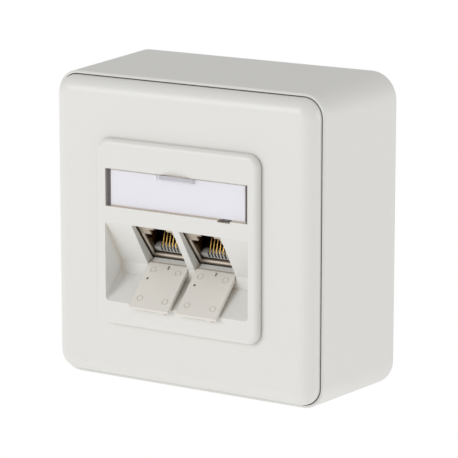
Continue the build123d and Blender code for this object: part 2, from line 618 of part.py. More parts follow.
# Support frame: flat ring, cheeks and the tilted panel that holds both jacks
panel_width = SKIRT_SIZE + 2 * PLATE_CHEEK_GAP + 2 * CHEEK_THICK
panel_low = JACK_CENTRE + JACK_IN * PANEL_SET - JACK_UP * PANEL_REACH_DOWN
panel_low_back = panel_low + JACK_IN * PANEL_THICK
panel_high = JACK_CENTRE + JACK_IN * PANEL_SET + JACK_UP * PANEL_REACH_UP
panel_high_back = panel_high + JACK_IN * PANEL_THICK
window_half = RING_WINDOW_HEIGHT / 2
jack_window_width = PORT_PITCH + SHELL_WIDTH + 2 * JACK_CLEARANCE
jack_window_height = SHELL_HEIGHT + 2 * JACK_CLEARANCE
with BuildPart() as support_frame:
    with BuildSketch(facing(RING_BACK)):
        RectangleRounded(RING_SIZE, RING_SIZE, RING_CORNER)
        Rectangle(panel_width - 2 * CHEEK_THICK, RING_WINDOW_HEIGHT, mode=Mode.SUBTRACT)
        with Locations((0, LABEL_CENTRE)):
            Rectangle(panel_width, BAR_HEIGHT)
    extrude(amount=RING_THICK)
    with BuildSketch(facing(RING_BACK)):
        with Locations((0, LABEL_CENTRE)):
            with GridLocations(PLATE_SCREW_SPACING, 0, 2, 1):
                Circle(BAR_BOSS)
    extrude(amount=-BAR_BOSS_LENGTH)
    with BuildSketch(section(0)):
        Polygon(
            (panel_low.X, panel_low.Y),
            (panel_low_back.X, panel_low_back.Y),
            (panel_high_back.X, panel_high_back.Y),
            (panel_high.X, panel_high.Y),
            align=None,
        )
    extrude(amount=panel_width / 2, both=True)
    # Cheeks from the ring down to the panel, one at each side
    cheek_middle = (panel_width - CHEEK_THICK) / 2
    for x in (-cheek_middle, cheek_middle):
        with BuildSketch(section(x)):
            Polygon(
                (-RING_BACK, panel_high_back.Y),
                (panel_low.X, panel_low.Y),
                (panel_low_back.X, panel_low_back.Y),
                (-RING_BACK, -window_half),
                align=None,
            )
        extrude(amount=CHEEK_THICK / 2, both=True)
    # Keep clear of the cover frame in front of the ring
    with BuildSketch(facing(RING_FRONT)):
        Rectangle(RING_SIZE, RING_SIZE)
        Rectangle(SKIRT_SIZE, RING_SIZE, mode=Mode.SUBTRACT)
    extrude(amount=PANEL_THICK * 2, mode=Mode.SUBTRACT)
    # Window for the jacks, threaded holes and the slots for the carrier screws
    with BuildSketch(jack_plane(0, PANEL_SET)):
        Rectangle(jack_window_width, jack_window_height)
    extrude(amount=PANEL_THICK * 2, both=True, mode=Mode.SUBTRACT)
    with BuildSketch(facing(RING_FRONT)):
        with Locations((0, LABEL_CENTRE)):
            with GridLocations(PLATE_SCREW_SPACING, 0, 2, 1):
                Circle(PLATE_SCREW_RADIUS + SCREW_CLEARANCE)
    extrude(amount=-(RING_THICK + BAR_BOSS_LENGTH), mode=Mode.SUBTRACT)
    with BuildSketch(facing(RING_FRONT)):
        with GridLocations(POST_SPACING, 0, 2, 1):
            SlotOverall(CARRIER_SLOT_LENGTH, 2 * (CARRIER_SCREW_RADIUS + SCREW_PASS))
        with Locations((EARTH_X, EARTH_Z)):
            Circle(EARTH_SCREW_RADIUS + SCREW_CLEARANCE)
    extrude(amount=-RING_THICK, mode=Mode.SUBTRACT)
save(support_frame, "support_frame")


# Pan-head screws from the carrier into the housing's posts
with BuildPart() as carrier_screws:
    with BuildSketch(facing(RING_FRONT)):
        with GridLocations(POST_SPACING, 0, 2, 1):
            Circle(CARRIER_HEAD_RADIUS)
    extrude(amount=CARRIER_HEAD_HEIGHT)
    chamfer(
        carrier_screws.faces().filter_by(Plane.XZ).group_by(Axis.Y)[0].edges(),
        CARRIER_HEAD_HEIGHT / 3,
    )
    with BuildSketch(facing(RING_FRONT)):
        with GridLocations(POST_SPACING, 0, 2, 1):
            Circle(CARRIER_SCREW_RADIUS)
    extrude(amount=-CARRIER_SCREW_LENGTH)
    with BuildSketch(facing(RING_FRONT + CARRIER_HEAD_HEIGHT)):
        with GridLocations(POST_SPACING, 0, 2, 1):
            Rectangle(CARRIER_HEAD_RADIUS * 1.2, CARRIER_HEAD_RADIUS * 0.25)
            Rectangle(CARRIER_HEAD_RADIUS * 0.25, CARRIER_HEAD_RADIUS * 1.2)
    extrude(amount=-CARRIER_HEAD_HEIGHT / 2, mode=Mode.SUBTRACT)
save(carrier_screws, "carrier_screws")


# Countersunk screws that hold the centre plate to the carrier
screw_top = PLATE_FRONT - LABEL_DEPTH
head_cone = PLATE_SCREW_HEAD - PLATE_SCREW_RADIUS
with BuildPart() as plate_screws:
    with BuildSketch(facing(screw_top)):
        with Locations((0, LABEL_CENTRE)):
            with GridLocations(PLATE_SCREW_SPACING, 0, 2, 1):
                Circle(PLATE_SCREW_HEAD)
    extrude(amount=-head_cone, taper=45)
    with BuildSketch(facing(screw_top)):
        with Locations((0, LABEL_CENTRE)):
            with GridLocations(PLATE_SCREW_SPACING, 0, 2, 1):
                Circle(PLATE_SCREW_RADIUS)
    extrude(amount=-PLATE_SCREW_LENGTH)
    with BuildSketch(facing(screw_top)):
        with Locations((0, LABEL_CENTRE)):
            with GridLocations(PLATE_SCREW_SPACING, 0, 2, 1):
                Rectangle(PLATE_SCREW_HEAD, PLATE_SCREW_HEAD * 0.25)
                Rectangle(PLATE_SCREW_HEAD * 0.25, PLATE_SCREW_HEAD)
    extrude(amount=-head_cone, mode=Mode.SUBTRACT)
save(plate_screws, "plate_screws")


# Earth blade on the back of the ring, and its screw
with BuildPart() as earth_tab:
    with BuildSketch(facing(RING_BACK)):
        with Locations((EARTH_X, EARTH_Z)):
            Rectangle(EARTH_PAD, EARTH_PAD)
            Circle(EARTH_SCREW_RADIUS + SCREW_PASS, mode=Mode.SUBTRACT)
    extrude(amount=-EARTH_THICK)
    with BuildSketch(facing(RING_BACK)):
        with Locations((EARTH_X, EARTH_Z - EARTH_PAD / 2 - EARTH_THICK / 2)):
            Rectangle(EARTH_BLADE_WIDTH, EARTH_THICK)
    extrude(amount=-EARTH_BLADE_LENGTH)
save(earth_tab, "earth_tab")

with BuildPart() as earth_screw:
    with BuildSketch(facing(RING_BACK - EARTH_THICK)):
        with Locations((EARTH_X, EARTH_Z)):
            Circle(EARTH_HEAD_RADIUS)
    extrude(amount=-EARTH_HEAD_HEIGHT)
    with BuildSketch(facing(RING_BACK - EARTH_THICK)):
        with Locations((EARTH_X, EARTH_Z)):
            Circle(EARTH_SCREW_RADIUS)
    extrude(amount=EARTH_THICK + RING_THICK)
    with BuildSketch(facing(RING_BACK - EARTH_THICK - EARTH_HEAD_HEIGHT)):
        with Locations((EARTH_X, EARTH_Z)):
            Rectangle(EARTH_HEAD_RADIUS * 1.2, EARTH_HEAD_RADIUS * 0.25)
            Rectangle(EARTH_HEAD_RADIUS * 0.25, EARTH_HEAD_RADIUS * 1.2)
    extrude(amount=EARTH_HEAD_HEIGHT / 2, mode=Mode.SUBTRACT)
save(earth_screw, "earth_screw")


# The two jacks: eight pieces each, all placed from the jack's own plane
board_front = CAVITY_LENGTH
block_front = board_front + BOARD_THICK
block_length = SHELL_LENGTH - SPIGOT_LENGTH - CAP_GAP - block_front
idc_length = block_length - IDC_SET
floor_top = CAVITY_FLOOR + INSERT_FLOOR
slot_bottom = CAVITY_FLOOR + INSERT_FLOOR_SKIN
insert_width = CAVITY_WIDTH - 2 * INSERT_CLEARANCE
insert_top = CAVITY_TOP - INSERT_CLEARANCE
comb_span = (CONTACT_COUNT - 1) * CONTACT_PITCH
wire_low = CAVITY_FLOOR + CONTACT_LOW
wire_start = COMB_FRONT + COMB_LENGTH / 2
wire_rise = (CONTACT_REACH - wire_start) * tan(radians(CONTACT_SLOPE))
leaf_at = CAVITY_WIDTH / 2 - LEAF_THICK / 2
jack_axis = Axis((0, JACK_CENTRE.X, JACK_CENTRE.Y), (0, JACK_IN.X, JACK_IN.Y))
for side, x in SIDES.items():
    # Die-cast shell with the stepped port, the ledges and the snap nubs
    with BuildPart() as jack_body:
        with BuildSketch(jack_plane(x)):
            RectangleRounded(SHELL_WIDTH, SHELL_HEIGHT, SHELL_CORNER)
        extrude(amount=-SHELL_LENGTH)
        with BuildSketch(jack_plane(x, PANEL_SET)):
            Rectangle(FLANGE_WIDTH, SHELL_HEIGHT + 2 * FLANGE_RISE)
        extrude(amount=FLANGE_THICK)
        with BuildSketch(jack_plane(x, PANEL_SET + PANEL_THICK)):
            Rectangle(FLANGE_WIDTH / 2, SHELL_HEIGHT + 2 * NUB_RISE)
        extrude(amount=-NUB_LENGTH)
        with BuildSketch(jack_plane(x)):
            with Locations((0, (CAVITY_FLOOR + CAVITY_TOP) / 2)):
                Rectangle(CAVITY_WIDTH, CAVITY_HEIGHT)
            with Locations((0, CAVITY_TOP + KEY_WIDE_HEIGHT / 2)):
                Rectangle(KEY_WIDE, KEY_WIDE_HEIGHT)
            with Locations((0, CAVITY_TOP + KEY_WIDE_HEIGHT + KEY_NARROW_HEIGHT / 2)):
                Rectangle(KEY_NARROW, KEY_NARROW_HEIGHT)
        extrude(amount=-CAVITY_LENGTH, mode=Mode.SUBTRACT)
        front = jack_body.faces().sort_by(jack_axis)[0]
        chamfer(front.inner_wires()[0].edges(), MOUTH_CHAMFER)
        with BuildSketch(jack_plane(x, CAVITY_LENGTH)):
            Rectangle(CHAMBER_WIDTH, CHAMBER_HEIGHT)
        extrude(amount=CAVITY_LENGTH - SHELL_LENGTH, mode=Mode.SUBTRACT)
    save(jack_body, f"jack_body_{side}")

    # Contact carrier: slotted floor, front comb and grooved rear wall
    with BuildPart() as contact_insert:
        with BuildSketch(jack_plane(x, COMB_FRONT)):
            with Locations((0, (CAVITY_FLOOR + floor_top) / 2)):
                Rectangle(insert_width, INSERT_FLOOR)
        extrude(amount=COMB_FRONT - CAVITY_LENGTH)
        with BuildSketch(jack_plane(x, COMB_FRONT)):
            with Locations((0, CAVITY_FLOOR + COMB_HEIGHT / 2)):
                Rectangle(insert_width, COMB_HEIGHT)
        extrude(amount=-COMB_LENGTH)
        with BuildSketch(jack_plane(x, INSERT_BACK)):
            with Locations((0, (CAVITY_FLOOR + insert_top) / 2)):
                Rectangle(insert_width, insert_top - CAVITY_FLOOR)
        extrude(amount=INSERT_BACK - CAVITY_LENGTH)
        with BuildSketch(jack_plane(x, COMB_FRONT)):
            with Locations((0, (slot_bottom + floor_top) / 2)):
                with GridLocations(CONTACT_PITCH, 0, CONTACT_COUNT, 1):
                    Rectangle(COMB_SLOT, floor_top - slot_bottom)
        extrude(amount=COMB_FRONT - CAVITY_LENGTH, mode=Mode.SUBTRACT)
        with BuildSketch(jack_plane(x, COMB_FRONT)):
            with Locations((0, (floor_top + CAVITY_TOP) / 2)):
                with GridLocations(CONTACT_PITCH, 0, CONTACT_COUNT, 1):
                    Rectangle(COMB_SLOT, CAVITY_TOP - floor_top)
        extrude(amount=COMB_FRONT - INSERT_BACK - INSERT_GROOVE, mode=Mode.SUBTRACT)
    save(contact_insert, f"contact_insert_{side}")

    # Spring contacts: from the board forward along the floor, then back and up
    with BuildPart() as contacts:
        for index in range(CONTACT_COUNT):
            wire_x = x - comb_span / 2 + index * CONTACT_PITCH
            with BuildSketch(jack_section(wire_x)):
                with BuildLine():
                    Polyline(
                        (board_front, wire_low),
                        (wire_start, wire_low),
                        (wire_start - CONTACT_BEND, wire_low + CONTACT_BEND),
                        (wire_start, wire_low + 2 * CONTACT_BEND),
                        (CONTACT_REACH, wire_low + wire_rise),
                    )
                trace(line_width=CONTACT_WIDTH)
            extrude(amount=CONTACT_WIDTH / 2, both=True)
    save(contacts, f"contacts_{side}")

    # Leaf springs that touch a plug's shield
    with BuildPart() as ground_springs:
        leaf_plane = Plane(
            origin=jack_plane(x).from_local_coords((0, LEAF_CENTRE, 0)),
            x_dir=(0, JACK_IN.X, JACK_IN.Y),
            z_dir=(0, JACK_UP.X, JACK_UP.Y),
        )
        for turn in (-1, 1):
            with BuildSketch(leaf_plane):
                with BuildLine():
                    Polyline(
                        (LEAF_START, turn * leaf_at),
                        (LEAF_START + LEAF_BULGE, turn * leaf_at),
                        (LEAF_PEAK, turn * (leaf_at - LEAF_BULGE)),
                        (LEAF_END - LEAF_BULGE, turn * leaf_at),
                        (LEAF_END, turn * leaf_at),
                    )
                trace(line_width=LEAF_THICK)
            extrude(amount=LEAF_HEIGHT / 2, both=True)
    save(ground_springs, f"ground_springs_{side}")

    # Circuit board behind the carrier
    with BuildPart() as circuit_board:
        with BuildSketch(jack_plane(x, board_front)):
            Rectangle(CHAMBER_WIDTH - 2 * BOARD_CLEARANCE, CHAMBER_HEIGHT - 2 * BOARD_CLEARANCE)
        extrude(amount=-BOARD_THICK)
    save(circuit_board, f"circuit_board_{side}")

    # Wiring block with a pocket and a wire slot for each contact blade
    with BuildPart() as idc_block:
        with BuildSketch(jack_plane(x, block_front)):
            Rectangle(CHAMBER_WIDTH - 2 * BLOCK_CLEARANCE, CHAMBER_HEIGHT - 2 * BLOCK_CLEARANCE)
        extrude(amount=-block_length)
        with BuildSketch(jack_plane(x, block_front)):
            with GridLocations(IDC_PITCH, IDC_ROW, CONTACT_COUNT // 2, 2):
                Rectangle(IDC_WIDTH + 2 * IDC_POCKET, IDC_THICK + 2 * IDC_POCKET)
        extrude(amount=-block_length, mode=Mode.SUBTRACT)
        with BuildSketch(jack_plane(x, block_front + block_length)):
            with GridLocations(IDC_PITCH, 0, CONTACT_COUNT // 2, 1):
                Rectangle(2 * IDC_NOTCH, CHAMBER_HEIGHT)
            Rectangle(CHAMBER_WIDTH, IDC_ROW / 2, mode=Mode.SUBTRACT)
        extrude(amount=block_length * IDC_NOTCH_SHARE, mode=Mode.SUBTRACT)
    save(idc_block, f"idc_block_{side}")

    # Forked contact blades in that block
    with BuildPart() as idc_contacts:
        with BuildSketch(jack_plane(x, block_front)):
            with GridLocations(IDC_PITCH, IDC_ROW, CONTACT_COUNT // 2, 2):
                Rectangle(IDC_WIDTH, IDC_THICK)
        extrude(amount=-idc_length)
        with BuildSketch(jack_plane(x, block_front + idc_length)):
            with GridLocations(IDC_PITCH, IDC_ROW, CONTACT_COUNT // 2, 2):
                Rectangle(IDC_NOTCH, IDC_WIDTH)
        extrude(amount=idc_length * IDC_NOTCH_SHARE, mode=Mode.SUBTRACT)
    save(idc_contacts, f"idc_contacts_{side}")

    # Rear cap with a spigot in the shell and the cable outlet
    with BuildPart() as wire_cap:
        with BuildSketch(jack_plane(x, SHELL_LENGTH)):
            RectangleRounded(SHELL_WIDTH, SHELL_HEIGHT, SHELL_CORNER)
        extrude(amount=-CAP_LENGTH)
        with BuildSketch(jack_plane(x, SHELL_LENGTH)):
            Rectangle(
                CHAMBER_WIDTH - 2 * SPIGOT_CLEARANCE, CHAMBER_HEIGHT - 2 * SPIGOT_CLEARANCE
            )
        extrude(amount=SPIGOT_LENGTH)
        with BuildSketch(jack_plane(x, SHELL_LENGTH + CAP_LENGTH)):
            Circle(SPOUT_RADIUS)
        extrude(amount=-SPOUT_LENGTH)
        with BuildSketch(jack_plane(x, SHELL_LENGTH - SPIGOT_LENGTH)):
            Rectangle(CHAMBER_WIDTH - 2 * CAP_WALL, CHAMBER_HEIGHT - 2 * CAP_WALL)
        extrude(amount=-(SPIGOT_LENGTH + CAP_LENGTH - CAP_WALL), mode=Mode.SUBTRACT)
        with BuildSketch(jack_plane(x, SHELL_LENGTH)):
            Circle(SPOUT_BORE)
        extrude(amount=-(CAP_LENGTH + SPOUT_LENGTH), mode=Mode.SUBTRACT)
    save(wire_cap, f"wire_cap_{side}")
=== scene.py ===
"""Looks and studio for a surface-mount ethernet outlet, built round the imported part.

Lengths are in metres in the part's own frame: the wall is y = 0 and the outlet faces -Y.
"""

import json
import math

import bpy
import numpy as np
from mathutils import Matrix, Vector


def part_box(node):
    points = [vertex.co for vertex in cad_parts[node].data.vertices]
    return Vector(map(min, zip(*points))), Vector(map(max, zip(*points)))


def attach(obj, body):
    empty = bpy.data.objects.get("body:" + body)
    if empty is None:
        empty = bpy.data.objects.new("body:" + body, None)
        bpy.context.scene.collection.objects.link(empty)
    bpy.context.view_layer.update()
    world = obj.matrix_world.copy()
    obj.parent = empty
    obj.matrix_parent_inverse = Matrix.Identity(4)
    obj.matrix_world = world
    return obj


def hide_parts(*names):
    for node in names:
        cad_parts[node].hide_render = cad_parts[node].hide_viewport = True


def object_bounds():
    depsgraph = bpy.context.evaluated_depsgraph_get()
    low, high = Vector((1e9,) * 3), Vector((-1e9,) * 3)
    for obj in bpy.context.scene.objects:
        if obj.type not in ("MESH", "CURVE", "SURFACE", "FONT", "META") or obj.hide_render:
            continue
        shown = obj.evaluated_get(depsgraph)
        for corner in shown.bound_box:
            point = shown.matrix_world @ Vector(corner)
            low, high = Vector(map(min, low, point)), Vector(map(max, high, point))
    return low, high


bl_info = {
    "name": "Ethernet Outlet Looks",
    "version": (1, 0, 0),
    "blender": (4, 5, 0),
    "location": "View3D > Sidebar > Outlet",
    "description": "Dresses a surface-mount ethernet outlet and sets up its studio",
    "category": "Object",
}

MM = 0.001
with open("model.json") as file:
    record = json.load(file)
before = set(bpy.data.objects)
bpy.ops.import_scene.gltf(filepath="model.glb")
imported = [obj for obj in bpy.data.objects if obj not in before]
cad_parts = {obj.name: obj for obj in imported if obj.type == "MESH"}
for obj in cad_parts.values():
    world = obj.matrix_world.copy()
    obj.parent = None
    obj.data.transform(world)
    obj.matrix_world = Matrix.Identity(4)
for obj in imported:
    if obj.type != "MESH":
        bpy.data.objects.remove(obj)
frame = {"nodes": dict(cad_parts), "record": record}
NODES = frame["nodes"]
CAD_BOX = [list(corner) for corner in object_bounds()]


def linear(code):
    """An sRGB hex code as linear RGB.

    A dark value c becomes c / 12.92, and any other one ((c + 0.055) / 1.055) ** 2.4.
    """
    values = [int(code[i : i + 2], 16) / 255 for i in (0, 2, 4)]
    return tuple(c / 12.92 if c <= 0.04045 else ((c + 0.055) / 1.055) ** 2.4 for c in values)


def from_record(group, name):
    """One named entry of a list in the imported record."""
    return next(entry for entry in group if entry["name"] == name)


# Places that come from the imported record, in millimetres. Profile points are (y, z) pairs.
HINGE_JOINT = from_record(frame["record"]["behaviour"]["joints"], "left_shutter_hinge")
HINGE = np.array(HINGE_JOINT["pos_m"][1:]) / MM
SHUTTER_X = abs(HINGE_JOINT["pos_m"][0]) / MM
SWING = HINGE_JOINT["range_deg"][1]
PORT = from_record(frame["record"]["mounts"], "port_left")
JACK_X = abs(PORT["pos_m"][0]) / MM
MOUTH = np.array(PORT["pos_m"][1:]) / MM
JACK_IN = -np.array(PORT["axis"][1:])
JACK_UP = np.array([-JACK_IN[1], JACK_IN[0]])
SIDES = {"left": -1, "right": 1}

# Shutter marks, in millimetres: distance from the hinge along the shutter, and sideways
SHUTTER_CLOSED = 123.0       # direction of a closed shutter in the (y, z) plane, in degrees
SHUTTER_HALF = 0.5           # half its thickness
EJECTOR_MARKS = ((2.1, -3.95), (2.2, 3.85), (11.1, -3.95), (11.1, 3.9))

MARK_SUNK = 0.15             # middle of a mark's edge below the face, as a share of its radius
MARK_AROUND, MARK_SECTION = 28, 8

# Finger lip at the window's upper edge, in millimetres
LIP_WIDTH = 11.3
LIP_HEIGHT = 1.17
LIP_MARGIN = 0.02

# Share that the window's faces hide of what lies behind them, and their colours
FACE_COVER, FACE_COLOUR = 0.05, "F6F6FB"
LIP_COVER, LIP_COLOUR = 0.4, "CFCDD3"
# The end walls' grey is painted shade: they hide most of what lies behind them
END_PAINTED_SHADE_COVER, END_PAINTED_SHADE_COLOUR = 0.86, "ADA5A4"
EDGE_COVER = 0.4
POLISHED, GRAINED = 0.04, 0.35

# Painted shade in seams: colour, reach of the closeness test in millimetres, and its low and high
# ends
FRAME_PAINTED_GAP_SHADE = ("5C4C3C", 1.2, 0.06, 0.38)
PLATE_PAINTED_GAP_SHADE = ("DDD1C0", 3.0, 0.1, 0.8)
SHUTTER_PAINTED_GAP_SHADE = ("8F7F6E", 1.2, 0.0, 0.3)
CARRIER_PAINTED_GAP_SHADE = ("170E07", 3.0, 0.12, 0.6)
METAL_PAINTED_GAP_SHADE = ("170E07", 1.0, 0.22, 0.6)
SHELL_PAINTED_GAP_SHADE = ("170E07", 6.0, 0.22, 0.6)
PAINTED_GAP_SHADE_RAYS = 12

# Inside of a port round the middle of its mouth, keyway included, in millimetres, where shade is
# painted
CAVITY_HALF_WIDTH = 6.0
CAVITY_HALF_HEIGHT = 5.7
CAVITY_MIDDLE = 1.6

# Painted shade inside the ports, dark brown: its start and end behind the jacks' front face, in
# millimetres, and the share of the height in the port that is added to the depth
SHELL_PAINTED_PORT_SHADE = (0.15, 0.9, 0.0)
CARRIER_PAINTED_PORT_SHADE = (0.7, 2.1, 0.55)
SPRING_PAINTED_PORT_SHADE = (0.4, 1.6, 0.0)
CONTACT_PAINTED_PORT_SHADE = (3.0, 10.0, 0.0)
PAINTED_PORT_SHADE_COLOUR = "402D1F"

# Spring contacts in a jack's own frame, in millimetres from the middle of its mouth
CONTACT_COUNT = 8
CONTACT_LOW = -3.45          # lower run
CONTACT_FRONT = 2.15         # start of the bend, behind the jack's front face
CONTACT_BACK = 13.0          # board behind the carrier
CONTACT_END = 10.4           # free end
CONTACT_SLOPE = 36.6         # degrees between the free run and the plug's direction
CONTACT_AROUND = 12          # sides of the round wire
RUN_STEPS = 5                # points of each straight run
RUN_SHARE = 0.98             # of the lower run that they cover, short of the bend
BEND_STEPS = 15
CUT_END = 0.55               # radius of the wire's ends, as a share

# Studio: where the camera looks in millimetres, and each lamp's direction, size in metres and watts
LOOK_AT = (12.404, -34.4, 3.558)
LAMPS = {
    "front softbox": ((-0.4, -0.87, 0.36), 0.8, 6.95),
    "right softbox": ((0.88, 0.42, 0.12), 1.0, 5.9),
}
LAMP_DISTANCE = 1.6
LAMP_MIDDLE = (0, -0.02, 0)
FLOOR_REACH = 4.0
FLOOR_GAP = 0.0002           # below the outlet
FLOOR_LIFT = 0.28            # light that the floor sends up besides what it reflects
SKY_LIGHT = 0.55


class OutletSizes(bpy.types.PropertyGroup):
    """Sizes of the drawn surfaces."""

    wire_radius: bpy.props.FloatProperty(
        name="Contact wire",
        description="Radius of the round spring contacts",
        default=0.21 * MM, min=0.1 * MM, max=0.4 * MM, unit="LENGTH", precision=5,
    )
    wire_pitch: bpy.props.FloatProperty(
        name="Contact pitch",
        description="Distance between neighbouring contacts",
        default=1.02 * MM, min=0.9 * MM, max=1.2 * MM, unit="LENGTH", precision=5,
    )
    wire_bend: bpy.props.FloatProperty(
        name="Contact bend",
        description="Radius of the bend at the front of a contact",
        default=0.42 * MM, min=0.25 * MM, max=0.8 * MM, unit="LENGTH", precision=5,
    )
    ring_radius: bpy.props.FloatProperty(
        name="Ejector mark",
        description="Radius of the round marks on the shutters' inner faces",
        default=0.8 * MM, min=0.3 * MM, max=1.2 * MM, unit="LENGTH", precision=5,
    )
    ring_height: bpy.props.FloatProperty(
        name="Ejector edge",
        description="Radius of the raised edge round a mark, about half of it sunk in",
        default=0.14 * MM, min=0.01 * MM, max=0.2 * MM, unit="LENGTH", precision=5,
    )
    grain: bpy.props.FloatProperty(
        name="Mould grain",
        description="Spacing of the fine texture on the moulded faces",
        default=0.35 * MM, min=0.05 * MM, max=2 * MM, unit="LENGTH", precision=5,
    )
    grain_depth: bpy.props.FloatProperty(
        name="Grain depth",
        description="Height of that texture",
        default=0.004 * MM, min=0.0, max=0.1 * MM, unit="LENGTH", precision=6,
    )
    lens: bpy.props.FloatProperty(
        name="Lens",
        description="Focal length of the studio camera in millimetres",
        default=222.34, min=20.0, max=400.0, subtype="DISTANCE_CAMERA",
    )
    distance: bpy.props.FloatProperty(
        name="Camera distance",
        description="From the camera to the point that it looks at",
        default=727.08 * MM, min=0.2, max=3.0, unit="LENGTH",
    )
    azimuth: bpy.props.FloatProperty(
        name="Camera azimuth",
        description="Turn of the camera round the outlet, from straight in front",
        default=math.radians(32.320), subtype="ANGLE",
    )
    elevation: bpy.props.FloatProperty(
        name="Camera elevation",
        description="Height of the camera above the horizon",
        default=math.radians(12.193), subtype="ANGLE",
    )


class OutletColours(bpy.types.PropertyGroup):
    """Colours of the finishes."""

    cover: bpy.props.FloatVectorProperty(
        name="Cover", description="Cover frame and centre plate",
        subtype="COLOR", size=3, min=0, max=1, default=linear("E8E7E3"),
    )
    housing: bpy.props.FloatVectorProperty(
        name="Housing", description="The deep wall housing",
        subtype="COLOR", size=3, min=0, max=1, default=linear("E6E5E1"),
    )
    shutter: bpy.props.FloatVectorProperty(
        name="Shutters", description="Dust shutters, a little warmer than the cover",
        subtype="COLOR", size=3, min=0, max=1, default=linear("EAE6DE"),
    )
    marks: bpy.props.FloatVectorProperty(
        name="Ejector marks", description="Raised edges of the round marks on the shutters",
        subtype="COLOR", size=3, min=0, max=1, default=linear("D4CFC5"),
    )
    card: bpy.props.FloatVectorProperty(
        name="Card", description="The bare label card",
        subtype="COLOR", size=3, min=0, max=1, default=linear("F0EFF5"),
    )
    nickel: bpy.props.FloatVectorProperty(
        name="Jack shell", description="Nickel plate on the die-cast jacks",
        subtype="COLOR", size=3, min=0, max=1, default=linear("D8CCBC"),
    )
    gold: bpy.props.FloatVectorProperty(
        name="Contacts", description="Gold plate on the spring contacts",
        subtype="COLOR", size=3, min=0, max=1, default=linear("F2C878"),
    )
    backdrop: bpy.props.FloatVectorProperty(
        name="Backdrop", description="Floor and surroundings as the camera sees them",
        subtype="COLOR", size=3, min=0, max=1, default=(1.0, 1.0, 1.0),
    )


def add_node(tree, kind, settings=None, links=None):
    """Adds one shader node, sets its sockets or attributes, and links inputs to (node, output)."""
    made = tree.nodes.new(kind)
    for key, value in (settings or {}).items():
        if isinstance(key, int) or key in made.inputs:
            made.inputs[key].default_value = value
        else:
            setattr(made, key, value)
    for key, (source, output) in (links or {}).items():
        tree.links.new(source.outputs[output], made.inputs[key])
    return made


def new_material(name):
    """An empty node material and its tree."""
    material = bpy.data.materials.new(name)
    material.use_nodes = True
    material.node_tree.nodes.clear()
    return material, material.node_tree


def finish_material(tree, shader, output="BSDF"):
    """Ends a material with its surface output."""
    add_node(tree, "ShaderNodeOutputMaterial", links={"Surface": (shader, output)})


def painted_gap_shade(tree, colour, shade_colour, reach_mm, low, high):
    """Painted shade: a colour that turns to a shade colour where surfaces stand closer than reach
    all round.

    The share of free directions is stretched from low, all shade colour, to high, all colour.
    """
    near = add_node(
        tree, "ShaderNodeAmbientOcclusion", {"Distance": reach_mm * MM, "samples": PAINTED_GAP_SHADE_RAYS},
    )
    free = add_node(
        tree, "ShaderNodeMapRange", {"From Min": low, "From Max": high}, {"Value": (near, "AO")},
    )
    return add_node(
        tree, "ShaderNodeMix",
        {"data_type": "RGBA", 6: (*linear(shade_colour), 1), 7: (*colour, 1)}, {0: (free, "Result")},
    )


def painted_port_shade(tree, shade, start, end, lean):
    """Painted shade: turns a colour dark brown inside the ports, from start to end behind their
    front face.

    The depth is an object point's dot product with the direction into the jack, plus a share lean
    of its height in the port. The inside lies within half a cavity of the middle, both ways.
    """
    inwards = JACK_IN + lean * JACK_UP
    face = float(MOUTH @ inwards)
    middle = float(MOUTH @ JACK_UP) + CAVITY_MIDDLE
    place = add_node(tree, "ShaderNodeTexCoord")
    parts = add_node(tree, "ShaderNodeSeparateXYZ", {}, {"Vector": (place, "Object")})
    aside = add_node(tree, "ShaderNodeMath", {"operation": "ABSOLUTE"}, {0: (parts, "X")})
    between = add_node(
        tree, "ShaderNodeMath",
        {"operation": "COMPARE", 1: JACK_X * MM, 2: CAVITY_HALF_WIDTH * MM},
        {0: (aside, "Value")},
    )
    height = add_node(
        tree, "ShaderNodeVectorMath", {"operation": "DOT_PRODUCT", 1: (0, *JACK_UP)},
        {0: (place, "Object")},
    )
    level = add_node(
        tree, "ShaderNodeMath",
        {"operation": "COMPARE", 1: middle * MM, 2: CAVITY_HALF_HEIGHT * MM},
        {0: (height, "Value")},
    )
    depth = add_node(
        tree, "ShaderNodeVectorMath", {"operation": "DOT_PRODUCT", 1: (0, *inwards)},
        {0: (place, "Object")},
    )
    deep = add_node(
        tree, "ShaderNodeMapRange",
        {"From Min": (face + start) * MM, "From Max": (face + end) * MM},
        {"Value": (depth, "Value")},
    )
    inside = add_node(
        tree, "ShaderNodeMath", {"operation": "MULTIPLY"},
        {0: (between, "Value"), 1: (level, "Value")},
    )
    share = add_node(
        tree, "ShaderNodeMath", {"operation": "MULTIPLY"},
        {0: (inside, "Value"), 1: (deep, "Result")},
    )
    return add_node(
        tree, "ShaderNodeMix", {"data_type": "RGBA", 7: (*linear(PAINTED_PORT_SHADE_COLOUR), 1)},
        {0: (share, "Value"), 6: (shade, 2)},
    )


def moulded_abs(name, colour, roughness, sizes, gap_shade):
    """ABS from a spark-eroded mould: a satin face with a grain that only breaks up its reflections.

    A closeness test paints shade into the seams, warm and dim where other surfaces stand close.
    Its settings hold the shade's colour, reach, low and high.
    """
    material, tree = new_material(name)
    place = add_node(tree, "ShaderNodeTexCoord")
    shade = painted_gap_shade(tree, colour, *gap_shade)
    grain = add_node(
        tree, "ShaderNodeTexNoise",
        {"Scale": 1 / sizes.grain, "Detail": 2.0, "Roughness": 0.6},
        {"Vector": (place, "Object")},
    )
    bump = add_node(
        tree, "ShaderNodeBump", {"Strength": 1.0, "Distance": sizes.grain_depth},
        {"Height": (grain, "Fac")},
    )
    shader = add_node(
        tree, "ShaderNodeBsdfPrincipled",
        {"Roughness": roughness, "IOR": 1.53},
        {"Normal": (bump, "Normal"), "Base Color": (shade, 2)},
    )
    finish_material(tree, shader)
    return material


